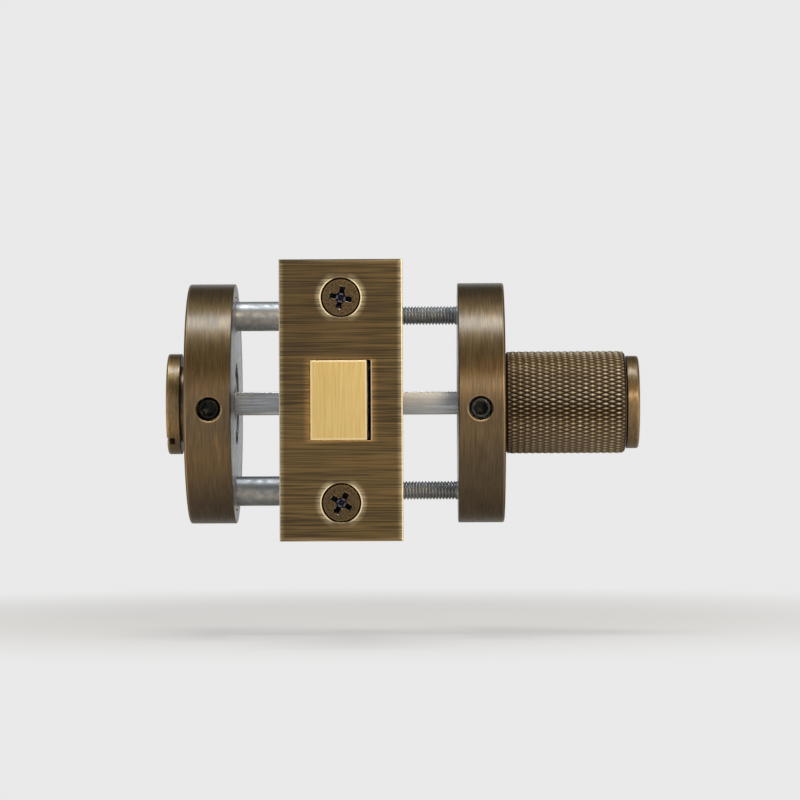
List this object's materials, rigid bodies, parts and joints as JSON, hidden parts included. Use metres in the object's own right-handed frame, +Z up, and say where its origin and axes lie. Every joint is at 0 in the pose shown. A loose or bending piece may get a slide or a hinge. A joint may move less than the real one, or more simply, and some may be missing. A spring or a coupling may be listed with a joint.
{
  "type": "privacy thumb turn",
  "caption": "Bathroom door privacy set: knurled thumb turn, round roses, coin release, square spindle and a tubular deadbolt with its faceplate.",
  "frame": {"origin": "where the spindle's axis crosses the middle of the door's thickness", "axes": "+X along the spindle towards the thumb turn, +Y from the door's edge into the door, +Z up"},
  "size_m": [0.102, 0.083, 0.057],
  "materials": {
    "antique_brass": "antique, brushed",
    "antique_screw": "antique",
    "satin_brass": "satin, brushed",
    "zinc_steel": "zinc plated",
    "black_steel": "oil black",
    "nylon": "natural"
  },
  "bodies": {
    "root": {"turn_rose": "antique_brass", "turn_mounting_plate": "zinc_steel", "turn_bush": "nylon", "turn_washer": "zinc_steel", "turn_grub_screw": "black_steel", "release_rose": "antique_brass", "release_mounting_plate": "zinc_steel", "release_bush": "nylon", "release_washer": "zinc_steel", "release_grub_screw": "black_steel", "through_bolt_top": "zinc_steel", "through_bolt_bottom": "zinc_steel", "sleeve_nut_top": "zinc_steel", "sleeve_nut_bottom": "zinc_steel", "faceplate": "antique_brass", "forend": "zinc_steel", "faceplate_screw_top": "antique_screw", "faceplate_screw_bottom": "antique_screw", "bolt_tube": "zinc_steel", "case_left": "zinc_steel", "case_right": "zinc_steel", "case_rivet_rear_top": "zinc_steel", "case_rivet_rear_bottom": "zinc_steel", "case_rivet_front": "zinc_steel", "detent_spring": "black_steel"},
    "turn": {"turn_knob": "antique_brass", "turn_end_cap": "antique_brass", "turn_circlip": "black_steel", "spindle": "zinc_steel", "follower": "zinc_steel", "release_button": "antique_brass", "release_circlip": "black_steel"},
    "bolt": {"deadbolt": "satin_brass", "bolt_tail": "zinc_steel", "bolt_pin": "zinc_steel"}
  },
  "joints": [
    {"name": "turn_hinge", "type": "hinge", "parent": "root", "child": "turn", "pos_m": [0, 0, 0], "axis": [1, 0, 0], "range_deg": [0, 90]},
    {"name": "bolt_slide", "type": "slide", "parent": "root", "child": "bolt", "axis": [0, -1, 0], "range_m": [0, 0.012]}
  ],
  "couplings": [
    {"joint": "bolt_slide", "follows": "turn_hinge", "m_per_rad": 0.0076394}
  ]
}
